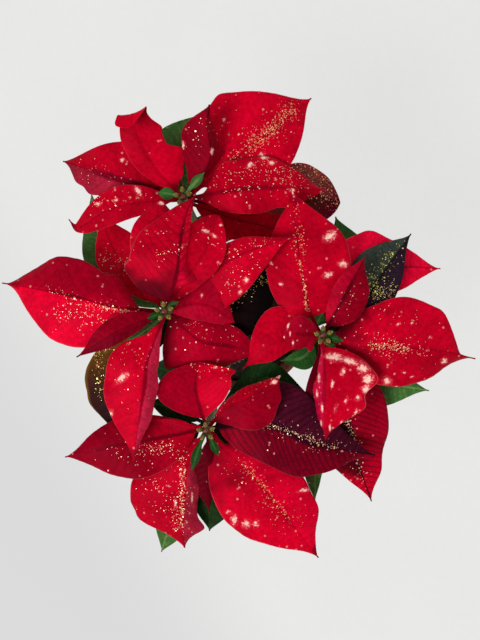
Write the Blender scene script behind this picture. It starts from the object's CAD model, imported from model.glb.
"""Looks of the potted poinsettia: fine bracts and leaves with veins, margins and gold flecks,
true flowers, woody stem, soil and pot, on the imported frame. Every piece rides on the root body.

Bracts and leaves repeat the rows and the surface of the CAD blades, on a finer mesh.
"""

import math
from typing import NamedTuple

import bpy
import numpy as np
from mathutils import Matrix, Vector, noise


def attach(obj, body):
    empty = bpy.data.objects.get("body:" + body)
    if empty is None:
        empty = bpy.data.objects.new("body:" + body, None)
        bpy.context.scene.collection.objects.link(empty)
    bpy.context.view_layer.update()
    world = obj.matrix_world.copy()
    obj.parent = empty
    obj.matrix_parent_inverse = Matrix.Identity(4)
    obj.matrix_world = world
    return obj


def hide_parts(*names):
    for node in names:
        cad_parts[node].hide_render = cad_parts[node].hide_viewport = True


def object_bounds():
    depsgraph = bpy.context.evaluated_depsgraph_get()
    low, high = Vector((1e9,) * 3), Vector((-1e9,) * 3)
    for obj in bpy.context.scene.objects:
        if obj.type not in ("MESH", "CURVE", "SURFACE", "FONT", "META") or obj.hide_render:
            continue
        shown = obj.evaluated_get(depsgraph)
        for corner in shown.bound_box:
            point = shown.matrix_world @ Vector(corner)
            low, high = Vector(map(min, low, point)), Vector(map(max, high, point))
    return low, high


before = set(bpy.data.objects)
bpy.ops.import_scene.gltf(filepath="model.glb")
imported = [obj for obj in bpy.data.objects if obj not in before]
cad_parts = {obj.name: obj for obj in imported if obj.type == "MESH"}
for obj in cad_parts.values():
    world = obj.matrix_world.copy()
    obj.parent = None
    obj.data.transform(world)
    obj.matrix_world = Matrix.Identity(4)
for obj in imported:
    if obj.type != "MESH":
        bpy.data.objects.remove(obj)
CAD_LOW, CAD_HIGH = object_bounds()

LOW_LIMIT = np.array(CAD_LOW) + 0.00002
HIGH_LIMIT = np.array(CAD_HIGH) - 0.00002
MM = 0.001
GAP = 0.3

# Pot and soil. Its small profiles are steps out and up, those of a lump are shares of its size
POT_HEIGHT = 108.0
POT_FOOT_RADIUS = 44.0
POT_MOUTH_RADIUS = 61.0
POT_WALL = 2.6
POT_RINGS = 9.0
POT_RING_DEPTH = 0.12
POT_STEPS = 24
POT_SIDES = 144
POT_FOOT = ((-6.0, 0.6), (-5.0, 0.05), (-1.6, 0.05), (-0.5, 0.5), (0.0, 2.0))
POT_RIM = ((0.0, -1.6), (-0.3, -0.5), (-1.0, 0.0))
POT_LIP = ((0.0, 0.0), (-0.7, -0.4), (-1.0, -1.2))
RIM_RADIUS = 65.0
RIM_HEIGHT = 22.0
RIM_TAPER = 1.4
DRAIN_RADIUS = 4.0
DRAIN_RING_RADIUS = 27.0
DRAIN_HOLES = 5
DRILL = ((0.0, -9.0), (DRAIN_RADIUS, -9.0), (DRAIN_RADIUS, 9.0), (0.0, 9.0))
DRILL_SIDES = 24
SOIL_TOP = 95.0
SOIL_MOUND = 3.0
SOIL_EDGE = 1.5
SOIL_STEPS = 32
SOIL_SIDES = 120
SOIL_SEED = 41
SOIL_LUMPS = 420
CLODS = ((1.1, 0.22), (0.7, 0.6))
LUMP = ((0.0, -0.7), (1.0, -0.3), (0.8, 0.5), (0.0, 0.7))
LUMP_SIDES = 6
LUMP_SIZES = (0.7, 2.2)
LUMP_MARGIN = 3
LUMP_LIFT = 0.2
LUMP_TILT = 0.5
GRAIN_EVERY = 6

# Woody main stem: meshes are sides and rings, bark the depth and the scale of its relief
TRUNK_RADIUS = 7.0
TRUNK_FOOT = 50.0
TRUNK_TOP = 150.0
TRUNK_MESH = (40, 90)
TRUNK_BARK = (0.7, 0.25)
ARM_RADIUS = 4.2
ARM_FOOT = 136.0
ARM_REACH = 17.0
ARM_END = 160.0
ARM_SAG = 3.0
ARM_SWELL = 0.8
ARM_MESH = (28, 40)
ARM_BARK = (0.5, 0.3)

# Green shoots and the short stem that carries each ring of bracts
SHOOT_RADIUS = 3.6
SHOOT_START = 14.0
SHOOT_LEAN = 0.86
SHOOT_BEND = 36.0
SHOOT_MESH = (20, 90)
SHOOT_GRAIN = (0.18, 0.25)
SCAR_STEPS = 80
SCAR_WIDTH = 0.014
SCAR_SWELL = 0.5
CROWN_RADIUS = 3.2
CROWN_LENGTH = 28.0
CROWN_STRAIGHT = 14.0
CROWN_TAPER = 0.3
CROWN_MESH = (20, 24)
CROWN_GRAIN = (0.18, 0.3)

# Blades
STALK_HALF_WIDTH = 1.4
STALK_LENGTH = 9.0
TIP_HALF_WIDTH = 0.5
BASE_FULLNESS = 0.8
DRIP = 1.35
CUP = 1.5
CHORD_WEIGHT = 2.0
LOBE_SPREAD = 0.07
RIPPLE = 0.035
RIPPLE_TURNS = 2.3
GOLDEN_TURN = 2.399963
LOWER_HALF_WIDTH = 0.27
LOWER_DROOP = 20.0
LOWER_ARCH = 7.0

# Relief of the blades, with the rows and columns of their meshes
FINE_THICKNESS = 0.36
FINE_GRID = (72, 34)
SMALL_GRID = (34, 16)
VEIN_LEAN = 0.45
VEIN_CURL = 0.012
VEINS_PER_SIDE = 13.0
QUILT = 0.16
QUILT_START = 6.0
RIB_GROOVE = 0.35
GROOVE_WIDTH = 1.3
WAVER = 0.7
WAVER_LONG = 13.0
WAVER_WIDE = 9.0
MARGIN_WAVE = 0.7
MARGIN_LONG = 4.1
FULL_RELIEF_LENGTH = 100.0 / 1.4

# Patterns on the blades: scales are patterns for each millimetre
PATCH_SCALE = 0.045
GRAIN_SCALE = 0.35
MIDRIB_WIDTHS = (0.9, 0.2)
NET_SCALE = 0.42
NET_WIDTH = 0.09
SPOT_SCALE = 0.16
SPOT_SIZES = (0.2, 0.05)
SPOT_STRENGTH = 0.7
TEAR_SCALE = 0.5
TEAR_DEPTH = 1.9
SMEAR_STRENGTH = 0.95
SHEEN = 0.06
SHINE = 0.08

# True flowers: profiles are radii and heights
CUP_HEIGHT = 4.2
CUP_RING_RADIUS = 4.0
CUP_STALK_RADIUS = 1.1
CUPS = 5
CUP_LEAN = 0.35
CUP_LIFT = 5.5
CUP_TURN = 0.4
CUP_FORK = 0.4
CUP_SIDES = 16
STALK_MESH = (10, 6)
GLAND_OUT = 1.045
GLAND_DOWN = 0.7
GLAND_LEAN = 0.9
GLAND_SIDES = 12
STAMENS = 5
STAMEN_RADIUS = 0.16
STAMEN_KNOB = 0.2
STAMEN_SPREAD = 1.1
STAMEN_TIPS = (0.5, 0.75)
STAMEN_SUNK = 0.8
STAMEN_BEND = 0.3
STAMEN_MESH = (6, 6)
CORE_HEIGHT = 5.6
CORE_SIDES = 20
PROFILE_STEPS = 5
CUP_PROFILE = ((0, 0), (1.1, 0.1), (1.615, 1.05), (1.9, 2.31), (1.482, 3.864), (0.95, 4.2), (0, 3.78))
CORE_PROFILE = ((0, 0), (2.72, 0), (3.2, 3.08), (1.92, 5.04), (0, 5.6))
GLAND_PROFILE = ((0, 0), (0.7, 0.1), (0.8, 0.5), (0.45, 0.9), (0, 0.95))

# Gold flecks: points tried on a blade, and how many stray how far from their stroke
FLECK_RADIUS = 0.36
FLECK_CORNERS = 4
FLECK_SINK = 0.06
FLECK_RISE = 0.1
FLECK_TILT = 0.16
FLECK_TRIES = 40000
FLECK_STRAY = 0.06
FLECK_STRAY_REACH = 2.4
FLECK_SIZES = (-0.2, 0.42)
FLECK_MOST = 2.2
FLECK_RAGGED = (0.7, 1.2)
FLECK_SEED = 7919

# Camera straight above the pot, as in the photograph, and studio
CAMERA_HEIGHT = 950.0
PHOTO_FOCAL = 924.0
PHOTO_HEIGHT = 640.0
PHOTO_MIDDLE = (240.0, 320.0)
SENSOR = 36.0
FLOOR_REACH = 4.0
FLOOR_TONE = (0.1, 0.1, 0.1)
FLOOR_GLOW = 0.72
WORLD_LIGHT = 0.4
LIGHT_TARGET = Vector((0.0, 0.0, 0.2))
KEY_POWER = 88.0
FILL_POWER = 8.0

# Middle of each flower head: across, back, height
HEADS = {
    "a": (-42.0, 91.0, 262.0),
    "b": (-54.0, 6.0, 285.0),
    "c": (60.0, -11.0, 280.0),
    "d": (-25.0, -82.0, 262.0),
}


class Blade(NamedTuple):
    """One bract or leaf. root is the height at which it leaves its stem, rib the points that
    its midrib passes after that, left and right (half-width, where it is widest) as seen from
    the root, rise the height of each margin over the midrib, and lobes (side, where, size).
    drip is how drawn out its tip is, full how narrow its base is, stalk the length of its bare
    stalk, and aim the level direction that it spreads square to, if not its own."""

    root: float
    rib: tuple
    left: tuple
    right: tuple
    rise: tuple = (0.0, 0.0)
    lobes: tuple = ()
    drip: float = DRIP
    full: float = BASE_FULLNESS
    stalk: float = STALK_LENGTH
    aim: tuple = ()


# Coloured bracts of each head, in turn round it, with the longest along their own midribs
BRACTS = {
    "a": (
        Blade(244, ((-70, 100, 250), (-93, 107, 250), (-136, 122, 240)), (16, 0.5), (29, 0.45), (-4, 2),
            ((1, 0.84, 5), (1, 0.7, 4))),
        Blade(255, ((-63, 113, 266), (-75, 134, 270), (-78, 147, 275), (-78, 149, 282), (-78, 139, 286)),
            (13, 0.5), (14, 0.5), (-2, -3),
            ((-1, 0.37, 12), (-1, 0.26, 10), (-1, 0.14, 6), (-1, 0.52, 3), (-1, 0.64, 6), (1, 0.92, 8),
             (-1, 0.9, 5)), 0.7, 0.6, STALK_LENGTH, (-0.25, 1.0)),
        Blade(252, ((-83, 87, 258), (-103, 81, 254), (-124, 70, 247), (-131, 77, 243)), (12, 0.5),
            (15, 0.45)),
        Blade(258, ((-27, 107, 268), (-21, 121, 277), (-24, 142, 286), (-22, 154, 290)), (23, 0.5),
            (5, 0.5), (-7, -12)),
        Blade(249, ((-7, 118, 258), (16, 135, 260), (35, 150, 258), (54, 168, 250)), (44, 0.47), (30, 0.47),
            (-3, -4), ((1, 0.3, 4), (1, 0.52, 3), (1, 0.85, 3), (-1, 0.08, -9), (-1, 0.35, 4))),
        Blade(256, ((-11, 95, 267), (16, 98, 267), (44, 98, 261), (67, 97, 254)), (24, 0.45), (18.5, 0.45),
            (-5, -4), ((1, 0.07, -7), (-1, 0.1, -2), (1, 0.22, 3), (-1, 0.62, -2), (-1, 0.74, 2))),
        Blade(241, ((-8, 79, 237), (18, 73, 233), (46, 66, 229)), (17, 0.5), (15, 0.5), (-1, -2),
            ((-1, 0.3, 10),), 0.8, 0.6),
    ),
    "b": (
        Blade(270, ((-94, 10, 274), (-116, 16, 273), (-140, 21, 267), (-180, 28, 251)), (37, 0.5),
            (28, 0.58), (-6, -9), ((-1, 0.25, 6), (-1, 0.04, -10)), 1.9),
        Blade(262, ((-86, 37, 250), (-100, 60, 238), (-108, 84, 229)), (17, 0.55), (21, 0.5), (-3, -2)),
        Blade(276, ((-45, 34, 289), (-42, 57, 292), (-38, 77, 289), (-32, 91, 284)), (36, 0.3), (7, 0.5),
            (-5, -22), ((-1, 0.22, 18), (1, 0.17, 4)), DRIP, 0.45),
        Blade(270, ((-62, 40, 279), (-62, 61, 280), (-59, 88, 275)), (18, 0.6), (18, 0.6), (-3, -3), (),
            0.8),
        Blade(272, ((-36, 34, 280), (-25, 51, 281), (-16, 77, 273)), (21, 0.6), (15, 0.55), (0, 2), (),
            0.7),
        Blade(268, ((-26, 31, 273), (0, 47, 281), (38, 60, 286)), (13, 0.5), (27, 0.36), (-4, -4)),
        Blade(268, ((-33, 12, 275), (-19, 9, 273), (-4, -2, 267)), (22, 0.42), (12, 0.5), (-2, -5),
            ((1, 0.16, 9), (1, 0.06, 5)), 1.0, 0.6, 4.0),
        Blade(264, ((-30, -15, 265), (-10, -19, 262), (17, -25, 258)), (17, 0.5), (26, 0.4), (-2, -10),
            ((-1, 0.2, 9), (-1, 0.1, 6)), DRIP, 0.6, 4.0),
        Blade(273, ((-90, -9, 284), (-119, -27, 277)), (8, 0.5), (11, 0.42), (-2, -1)),
        Blade(274, ((-67, -30, 283), (-69, -47, 282), (-73, -69, 277), (-79, -105, 266)), (9, 0.5),
            (30, 0.45), (-13, -3), ((-1, 0.1, -7),)),
    ),
    "c": (
        Blade(268, ((52, 4, 274), (46, 27, 278), (42, 54, 277), (38, 96, 270)), (25, 0.38), (37, 0.4),
            (-5, 0), (), DRIP, 0.5, 16.0),
        Blade(276, ((74, 15, 289), (89, 45, 292)), (10, 0.5), (17, 0.42), (-2, -5), (), DRIP, 0.6),
        Blade(262, ((92, 28, 262), (119, 39, 259), (152, 39, 249)), (34, 0.42), (18, 0.5), (-3, -3),
            ((1, 0.6, 3),)),
        Blade(270, ((95, -20, 277), (120, -20, 278), (150, -23, 272), (176, -29, 259)), (37, 0.43),
            (29, 0.45), (-2, -6), ((1, 0.7, 4), (1, 0.87, -5)), 1.9),
        Blade(273, ((61, -39, 282), (61, -65, 277), (63, -88, 268)), (36, 0.38), (6, 0.5), (2, -12),
            ((1, 0.34, 3), (1, 0.5, -4), (1, 0.66, 3))),
        Blade(270, ((33, -14, 276), (18, -21, 275), (2, -36, 266)), (11, 0.5), (25, 0.3), (-4, -3), (),
            1.6),
        Blade(277, ((43, -10, 288), (29, -9, 290)), (11, 0.5), (13, 0.5), (-7, -3), ((1, 0.12, 6),), 1.0,
            0.5, 3.0),
        Blade(258, ((59, -50, 256), (52, -73, 250)), (9, 0.55), (9, 0.6)),
        Blade(257, ((70, -47, 257), (81, -79, 248), (90, -107, 239), (103, -142, 226)), (34, 0.42),
            (24, 0.5), (-4, -3), ((1, 0.85, 4),)),
    ),
    "d": (
        Blade(250, ((-67, -90, 254), (-101, -96, 252), (-134, -105, 242)), (28, 0.45), (20, 0.45),
            (-4, -3)),
        Blade(246, ((-39, -108, 249), (-42, -132, 246), (-44, -152, 241), (-43, -177, 232)), (11, 0.6),
            (42, 0.52), (-9, -4), ((1, 0.83, 9), (-1, 0.8, 8), (-1, 0.68, 3)), 1.2),
        Blade(257, ((-47, -77, 261), (-63, -75, 257)), (9, 0.5), (3, 0.5), (-9, 0)),
        Blade(249, ((-30, -65, 259), (-33, -50, 263), (-31, -31, 262)), (29, 0.58), (27, 0.62), (3, 6),
            ((-1, 0.84, 9), (1, 0.85, 2)), 0.7),
        Blade(256, ((-11, -67, 264), (6, -58, 268), (30, -41, 267)), (8, 0.5), (25, 0.5), (-7, -2),
            ((-1, 0.85, 4),)),
        Blade(250, ((3, -78, 257), (27, -80, 259), (53, -92, 259), (102, -102, 252)), (34, 0.38),
            (30, 0.42), (-3, -4)),
        Blade(244, ((-2, -107, 249), (19, -130, 248), (38, -154, 242), (61, -185, 231)), (29, 0.5),
            (38, 0.45), (-4, -4), ((1, 0.75, 3), (1, 0.05, -8))),
        Blade(253, ((-23, -103, 248), (-23, -123, 241), (-24, -149, 234)), (6, 0.5), (12, 0.5), (-5, -2)),
    ),
}

# Bronze leaves, each one a piece of its own; the letter names the shoot that carries it
BRONZE_LEAVES = {
    "a": Blade(248, ((0, 88, 247), (45, 99, 246), (77, 90, 240)), (21, 0.68), (24, 0.76), (-2, -2),
        ((1, 0.9, 2),), 0.7),
    "b_left": Blade(246, ((-84, -26, 250), (-92, -50, 250), (-97, -88, 241)), (12, 0.5), (27, 0.58),
        (-3, -2), ((-1, 0.82, 4),)),
    "b_middle": Blade(240, ((-27, -4, 250), (-8, 7, 254), (8, 23, 255), (23, 44, 251)), (15, 0.6),
        (26, 0.6), (-2, -4), (), 0.9),
    "c": Blade(265, ((90, 12, 267), (106, 35, 269), (127, 64, 264)), (23, 0.5), (18, 0.42), (-3, -2),
        ((1, 0.1, 6),), DRIP, 0.6, 4.0),
}

# Green leaves high on each shoot, which show between the bracts
GREEN_LEAVES = {
    "a": (Blade(226, ((-46, 128, 240), (-27, 161, 236)), (23, 0.5), (16, 0.5)),),
    "b": (
        Blade(232, ((-98, 42, 230), (-113, 72, 222), (-118, 102, 218)), (21, 0.42), (14, 0.5), (-2, -2)),
        Blade(252, ((-72, -9, 257), (-86, -17, 257)), (5, 0.5), (6, 0.5)),
    ),
    "c": (
        Blade(226, ((78, 38, 240), (74, 80, 235)), (14, 0.5), (25, 0.66), (-3, -3),
            ((1, 0.12, 9), (-1, 0.12, 5)), DRIP, 0.6, 4.0),
        Blade(230, ((98, -44, 240), (147, -55, 231)), (14, 0.5), (25, 0.45), (-2, -4)),
        Blade(240, ((48, -28, 249), (31, -31, 249)), (10, 0.45), (6, 0.5), (2, 2)),
        Blade(222, ((64, -60, 226), (60, -100, 226), (59, -143, 221)), (6, 0.72), (10, 0.72), (-2, -2)),
    ),
    "d": (
        Blade(232, ((5, -57, 243), (20, -44, 245), (55, -59, 239)), (15, 0.5), (10, 0.5)),
        Blade(230, ((-45, -70, 242), (-71, -62, 242)), (9, 0.5), (10, 0.5)),
        Blade(224, ((-25, -124, 228), (-24, -166, 223)), (17, 0.72), (13, 0.6)),
        Blade(222, ((-46, -130, 231), (-62, -183, 221)), (13, 0.72), (14, 0.62)),
    ),
}

# Leaves lower on each shoot: height of the root, direction in degrees, length
LOWER_LEAVES = {
    "a": ((214, 118, 62), (200, 24, 66), (188, 160, 64)),
    "b": ((232, 95, 66), (214, 205, 62), (196, 128, 60)),
    "c": ((226, 10, 66), (208, 330, 62), (192, 60, 58)),
    "d": ((214, 208, 66), (200, 300, 66), (188, 165, 62)),
}

# Small green leaflets among the true flowers
LEAFLETS = {
    "a": (
        Blade(264, ((-52, 93, 268), (-61, 94, 269)), (4.5, 0.5), (4.5, 0.5)),
        Blade(264, ((-34, 100, 270), (-26, 108, 274)), (3.5, 0.5), (3.5, 0.5)),
    ),
    "b": (
        Blade(287, ((-50, 10, 290), (-44, 13, 292)), (2.5, 0.5), (2.5, 0.5)),
        Blade(287, ((-59, 4, 290), (-66, 1, 291)), (2.5, 0.5), (2.5, 0.5)),
    ),
    "c": (Blade(282, ((66, -13, 286), (74, -15, 287)), (2.5, 0.5), (2.5, 0.5)),),
    "d": (
        Blade(264, ((-31, -96, 266), (-36, -112, 262)), (3.5, 0.5), (3.5, 0.5)),
        Blade(264, ((-20, -92, 266), (-16, -101, 263)), (3.0, 0.5), (3.0, 0.5)),
    ),
}


def lin(red, green, blue):
    """Linear colour of a display colour from 0 to 255."""
    parts = (part / 255.0 for part in (red, green, blue))
    return tuple(v / 12.92 if v <= 0.04045 else ((v + 0.055) / 1.055) ** 2.4 for v in parts)


# Tones of the blades
HOT = lin(250, 8, 56)
VIVID = lin(220, 1, 42)
BRIGHT = lin(202, 0, 35)
RED = lin(186, 0, 31)
CARMINE = lin(166, 0, 31)
CRIMSON = lin(142, 0, 25)
GARNET = lin(118, 1, 24)
DEEP = lin(92, 1, 16)
ROSY = lin(196, 10, 58)
PALE_ROSE = lin(228, 40, 80)
CHERRY = lin(178, 4, 38)
ROSE = lin(168, 30, 54)
WINE = lin(98, 4, 30)
PLUM = lin(76, 14, 36)
MAROON = lin(62, 5, 22)
DUSK = lin(38, 6, 18)
RUSSET = lin(138, 64, 58)
BROWN = lin(92, 30, 24)
BLACKISH = lin(12, 17, 14)
BLACK = lin(7, 9, 8)
AMBER = lin(122, 80, 22)
UMBER = lin(66, 36, 26)
PURPLE_BLACK = lin(40, 27, 42)
GREY_GREEN = lin(58, 70, 62)
BRONZE = lin(34, 34, 30)
GREEN = lin(64, 110, 52)
LEAF = lin(40, 92, 38)
DARK_LEAF = lin(16, 56, 24)
PALE_GREEN = lin(120, 160, 90)
PINK = lin(244, 150, 146)
BLUSH = lin(232, 84, 100)
CREAM = lin(252, 206, 190)
UNDERSIDE = lin(150, 40, 70)
SHINE_TINT = (1.0, 0.12, 0.25)
FLECK_TONES = {
    "rose_gold": (lin(255, 196, 140), lin(244, 118, 84)),
    "pale_gold": (lin(255, 230, 186), lin(248, 150, 112)),
    "green_gold": (lin(240, 228, 130), lin(190, 176, 70)),
}


class Look(NamedTuple):
    """How one blade is coloured. left and right are the tones of its halves as seen from the
    root, rib is the tone along the midrib to rib_width mm, tip the tone from tip_from on, base
    the tone up to base_to, vein how strong the side veins show and vein_tone their colour,
    edge how pale the margin is, spots how many soft spots it has, pitch the vein spacing in mm
    where it isn't the usual share of the length, vein_width how wide the side veins are,
    edge_from where the pale margin starts and edge_tone its colour, and under the tone that its
    underside leans to."""

    left: tuple = BRIGHT
    right: tuple = BRIGHT
    rib: tuple = RED
    rib_width: float = 2.0
    tip: tuple = CRIMSON
    tip_from: float = 0.93
    base: tuple = CRIMSON
    base_to: float = 0.16
    vein: float = 0.38
    vein_tone: tuple = CRIMSON
    edge: float = 0.12
    spots: float = 0.3
    rough: float = 0.46
    pitch: float = 0.0
    vein_width: float = 1.0
    edge_from: float = 0.975
    edge_tone: tuple = PINK
    under: tuple = UNDERSIDE


SHADED = Look(CRIMSON, CRIMSON, rib=DEEP, tip=DEEP, base=DEEP, vein_tone=DEEP)
GREEN_LOOK = Look(LEAF, LEAF, rib=PALE_GREEN, rib_width=1.2, tip=DARK_LEAF, base=PALE_GREEN, base_to=0.08,
    vein=0.5, vein_tone=GREEN, edge=0.0, spots=0.12, under=PALE_GREEN)

# Looks of the bracts of each head, in the order of BRACTS, then of the bronze and green leaves
BRACT_LOOKS = {
    "bloom_a": (
        Look(ROSE, RED, rib=WINE, rib_width=4.5, tip=BROWN, tip_from=0.78, vein=0.5, vein_width=1.4),
        Look(RED, BRIGHT, tip=DEEP, tip_from=0.62, vein=0.15, spots=0.15, under=BRIGHT),
        Look(RED, RED, base=CARMINE, base_to=0.3, tip=MAROON, tip_from=0.82, spots=0.6),
        SHADED._replace(edge=0.08, vein=0.2, rib=GARNET),
        Look(tip=MAROON, tip_from=0.965, spots=0.5, vein=0.12),
        Look(RED, RED, rib=CRIMSON, rib_width=3.0, spots=0.7, vein=0.2),
        Look(spots=0.1),
    ),
    "bloom_b": (
        Look(VIVID, CARMINE, rib=DEEP, rib_width=1.5, vein=0.3),
        Look(base=CARMINE, base_to=0.5, spots=0.1),
        Look(RED, HOT, rib=DEEP, rib_width=2.5, base=DEEP, base_to=0.4, vein=0.6, vein_tone=GARNET,
            vein_width=1.5, spots=0.25),
        Look(RED, RED, spots=0.4),
        Look(RED, BRIGHT, base_to=0.5, spots=0.4, vein=0.12),
        Look(RED, BRIGHT, rib=CARMINE),
        Look(CHERRY, CHERRY, rib=CARMINE, spots=0.1),
        Look(CARMINE, CARMINE, rib=DEEP, base=DEEP, base_to=0.3, spots=0.25),
        SHADED._replace(left=GARNET, rib=CRIMSON, spots=0.05),
        Look(PALE_ROSE, BRIGHT, rib=CRIMSON, rib_width=2.5, edge=0.16),
    ),
    "bloom_c": (
        Look(RED, RED, rib=CRIMSON, rib_width=1.2, vein=0.15),
        SHADED._replace(left=CHERRY, tip=CARMINE, spots=0.2),
        Look(HOT, HOT, base=DEEP, base_to=0.35),
        Look(BRIGHT, RED, base=DEEP, base_to=0.42, tip_from=0.95, spots=0.4),
        Look(RED, ROSY, rib=CRIMSON, vein=0.3, vein_tone=CARMINE, edge=0.2, vein_width=1.3, spots=0.9,
            base=RED),
        Look(RED, RED, vein=0.15, spots=0.15),
        Look(CARMINE, CHERRY, rib=CRIMSON, spots=0.6),
        SHADED._replace(left=MAROON, right=DEEP),
        Look(CARMINE, DEEP, rib=DUSK, rib_width=6.0, tip=BRIGHT, tip_from=0.7, base=DUSK, base_to=0.45,
            vein=0.65, vein_tone=DUSK, edge=0.04, pitch=5.2, vein_width=1.9),
    ),
    "bloom_d": (
        Look(CRIMSON, CRIMSON, base=RED, base_to=0.5, rib=DEEP, vein=0.2, tip=DEEP, tip_from=0.96),
        Look(ROSE, RED, base=CARMINE, vein=0.3, spots=0.6),
        Look(CARMINE, CARMINE),
        Look(CARMINE, BRIGHT, rib=DEEP, rib_width=2.2, base=DEEP, base_to=0.25),
        Look(RED, CRIMSON, rib=CRIMSON, tip=CREAM, tip_from=0.97),
        Look(PLUM, GARNET, rib=DUSK, rib_width=5.0, base=CARMINE, base_to=0.38, vein=0.7, vein_tone=DUSK,
            tip=DEEP, edge=0.06, spots=0.1, pitch=5.2, vein_width=1.9),
        Look(VIVID, BRIGHT, base_to=0.5, tip_from=0.96, vein=0.12, spots=0.35),
        SHADED._replace(left=DEEP, right=DEEP, vein=0.4),
    ),
}
LOOKS = {"%s_%d" % (bloom, k): look for bloom, row in BRACT_LOOKS.items() for k, look in enumerate(row)}
LOOKS |= {
    "bronze_leaf_a": Look(RUSSET, BROWN, rib=WINE, tip=WINE, tip_from=0.8, base=MAROON, vein=0.3,
        vein_tone=MAROON, edge=0.6, edge_from=0.86, edge_tone=CRIMSON, spots=0.1, under=WINE),
    "bronze_leaf_b_left": Look(UMBER, UMBER, rib=AMBER, tip=BLACKISH, tip_from=0.4, base=AMBER, base_to=0.8,
        vein=0.4, vein_tone=BLACKISH, edge=0.7, edge_from=0.86, edge_tone=AMBER, spots=0.05,
        under=GREY_GREEN),
    "bronze_leaf_b_middle": Look(BLACK, BLACK, rib=BLACKISH, rib_width=1.5, tip=BLACK, base=BLACK, vein=0.3,
        vein_tone=BLACKISH, edge=0.0, spots=0.0, under=GREY_GREEN),
    "bronze_leaf_c": Look(GREY_GREEN, PURPLE_BLACK, rib=BRONZE, rib_width=3.0, tip=PURPLE_BLACK,
        tip_from=0.9, base=BLACKISH, base_to=0.35, vein=0.5, vein_tone=BLACKISH, edge=0.05, spots=0.1,
        under=GREY_GREEN),
    "green_leaf": GREEN_LOOK,
    "dark_green_leaf": GREEN_LOOK._replace(left=DARK_LEAF, right=DARK_LEAF, rib=LEAF, base=LEAF, vein=0.3,
        vein_tone=LEAF),
    "light_green_leaf": GREEN_LOOK._replace(left=GREEN, right=GREEN, tip=LEAF, vein=0.3,
        vein_tone=PALE_GREEN, spots=0.5),
}

# Green pieces that aren't dark green
GREEN_PIECES = dict.fromkeys(
    (
        "shoot_a_leaf_0", "shoot_b_leaf_0", "shoot_b_leaf_1", "shoot_c_leaf_1", "shoot_c_leaf_3",
        "shoot_d_leaf_3",
    ),
    "light_green_leaf",
)
GREEN_PIECES |= dict.fromkeys(
    ("shoot_c_leaf_0", "shoot_c_leaf_2", "flowers_a_leaflet_0", "flowers_a_leaflet_1"), "green_leaf"
)

# Gold flecks: for each blade, strokes in the photograph (from, to, half-width, number)
GOLD = {
    "bloom_b_1": ((104, 262, 126, 262, 7, 70),),
    "bloom_c_1": ((336, 322, 352, 296, 7, 24),),
    "bloom_a_0": ((82, 166, 122, 178, 8, 30),),
    "bloom_a_2": ((100, 200, 140, 196, 10, 42),),
    "bloom_a_3": ((184, 150, 206, 126, 10, 24),),
    "bloom_a_4": ((232, 161, 262, 140, 4.5, 140), (258, 142, 290, 112, 7, 380),
        (250, 142, 290, 136, 15, 40), (222, 130, 250, 110, 14, 14)),
    "bloom_a_5": ((222, 176, 300, 172, 11, 130), (262, 166, 300, 186, 8, 60), (230, 190, 290, 184, 9, 40)),
    "bronze_leaf_a_blade": ((300, 168, 334, 174, 8, 110), (318, 190, 336, 206, 10, 120),
        (308, 180, 338, 196, 13, 60)),
    "bloom_b_0": ((52, 290, 100, 306, 3.5, 60), (100, 306, 143, 313, 1.4, 120),
        (62, 312, 112, 318, 8, 130)),
    "bloom_b_2": ((150, 236, 176, 220, 16, 30), (164, 256, 180, 250, 5, 46)),
    "bloom_b_4": ((204, 226, 222, 244, 10, 22),),
    "bloom_b_5": ((210, 252, 262, 242, 12, 70), (226, 290, 250, 262, 7, 40)),
    "bloom_b_7": ((176, 326, 232, 336, 10, 50),),
    "bloom_b_9": ((110, 340, 150, 352, 13, 34), (120, 360, 130, 400, 13, 24)),
    "bloom_c_0": ((302, 262, 309, 312, 1.2, 130), (296, 206, 298, 262, 6, 70),
        (302, 232, 305, 262, 2.4, 36)),
    "bronze_leaf_c_blade": ((366, 280, 380, 296, 5, 170), (370, 296, 394, 290, 5, 130),
        (376, 278, 390, 256, 6, 90), (392, 252, 398, 244, 6, 20)),
    "bloom_c_3": ((371, 346, 405, 350, 3.4, 190), (364, 340, 420, 354, 9, 60),
        (384, 310, 420, 330, 13, 30)),
    "bloom_c_8": ((345, 415, 358, 455, 2.6, 120), (338, 400, 354, 470, 10, 60),
        (352, 465, 366, 480, 5, 30)),
    "bloom_d_0": ((140, 448, 172, 445, 6, 130), (120, 450, 150, 460, 8, 30)),
    "bloom_d_1": ((140, 452, 176, 452, 7, 120), (182, 452, 181, 532, 2, 150), (180, 484, 180, 524, 5, 90),
        (150, 466, 172, 520, 13, 110)),
    "bloom_d_3": ((196, 358, 222, 366, 12, 30),),
    "bloom_d_4": ((222, 400, 262, 384, 10, 18),),
    "bloom_d_5": ((268, 426, 330, 447, 2.2, 140), (270, 428, 352, 452, 9, 90)),
    "bloom_d_6": ((243, 465, 282, 512, 3, 170), (240, 465, 290, 520, 13, 110)),
    "bronze_leaf_b_middle_blade": ((228, 306, 262, 282, 5, 80), (258, 284, 268, 270, 4, 36)),
    "bronze_leaf_b_left_blade": ((92, 350, 106, 346, 3, 60), (100, 352, 99, 392, 5, 80)),
}
ROSE_GOLD = ("bloom_a_4", "bloom_c_0", "bloom_d_6", "bloom_b_9", "bronze_leaf_a_blade")

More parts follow.
